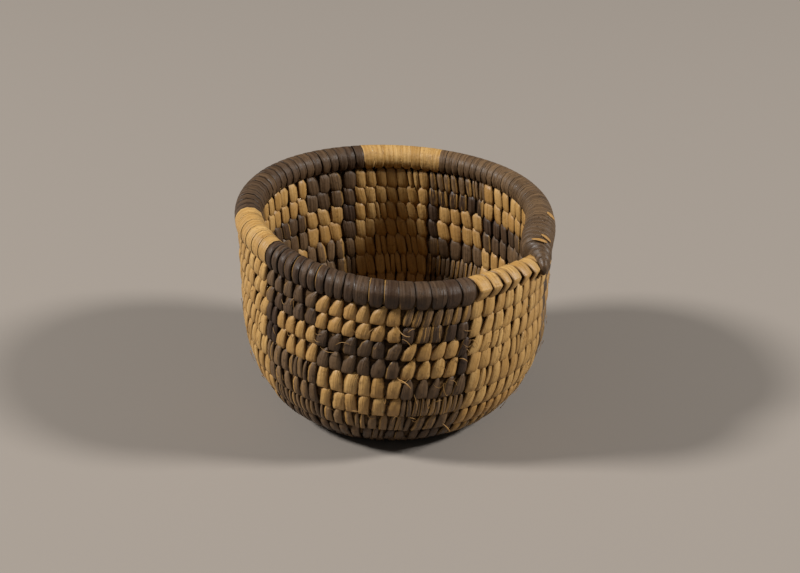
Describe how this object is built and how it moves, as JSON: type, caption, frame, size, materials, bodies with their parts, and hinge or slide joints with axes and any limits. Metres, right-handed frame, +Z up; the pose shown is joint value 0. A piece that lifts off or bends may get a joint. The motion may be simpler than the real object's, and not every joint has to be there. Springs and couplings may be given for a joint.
{
  "type": "coiled basket",
  "caption": "Small deep round coiled basket with a flat base, an overcast rim and light and dark stitches in a checkerboard.",
  "frame": {"origin": "centre of the base, on the surface the basket stands on", "axes": "+Z up through the mouth, -Y towards the front with the widest dark panel, +X to the right seen from the front"},
  "size_m": [0.0344, 0.0355, 0.0237],
  "materials": {
    "willow_splint": "split willow with a soft sheen, fine lengthwise grain and darker creases",
    "dark_splint": "split dark seed-pod fibre, near black with a grey-violet sheen, browner where worn",
    "worn_splint": "dark fibre worn to a dull brown with paler edges",
    "grass_bundle": "bundle of dry grass stems, matt"
  },
  "bodies": {
    "root": {"back_light_panel": "willow_splint", "base_back": "dark_splint", "base_front": "dark_splint", "base_left": "dark_splint", "foot_back": "dark_splint", "foot_front": "dark_splint", "foot_left": "dark_splint", "foundation_coil": "grass_bundle", "front_lower_centre": "willow_splint", "front_lower_left": "dark_splint", "front_lower_right": "dark_splint", "front_lowest_centre": "worn_splint", "front_middle_centre": "dark_splint", "front_middle_left": "willow_splint", "front_middle_left_edge": "dark_splint", "front_middle_right": "willow_splint", "front_middle_right_edge": "dark_splint", "front_upper_centre": "willow_splint", "front_upper_left": "dark_splint", "front_upper_right": "dark_splint", "left_back_lower_centre": "willow_splint", "left_back_lower_left": "dark_splint", "left_back_lower_right": "dark_splint", "left_back_lowest_centre": "worn_splint", "left_back_middle_centre": "dark_splint", "left_back_middle_left": "willow_splint", "left_back_middle_left_edge": "dark_splint", "left_back_middle_right": "willow_splint", "left_back_middle_right_edge": "dark_splint", "left_back_upper_centre": "willow_splint", "left_back_upper_left": "dark_splint", "left_back_upper_right": "dark_splint", "left_light_panel": "willow_splint", "right_back_lower_centre": "willow_splint", "right_back_lower_left": "dark_splint", "right_back_lower_right": "dark_splint", "right_back_lowest_centre": "worn_splint", "right_back_middle_centre": "dark_splint", "right_back_middle_left": "willow_splint", "right_back_middle_left_edge": "dark_splint", "right_back_middle_right": "willow_splint", "right_back_middle_right_edge": "dark_splint", "right_back_upper_centre": "willow_splint", "right_back_upper_left": "dark_splint", "right_back_upper_right": "dark_splint", "right_light_panel": "willow_splint", "rim_back_light": "willow_splint", "rim_front_first_half": "dark_splint", "rim_front_second_half": "dark_splint", "rim_left_back_first_half": "dark_splint", "rim_left_back_second_half": "dark_splint", "rim_left_light": "willow_splint", "rim_right_back_first_half": "dark_splint", "rim_right_back_second_half": "dark_splint", "rim_right_light": "willow_splint", "rim_tapered_end": "dark_splint", "start_knot": "dark_splint"}
  },
  "joints": []
}
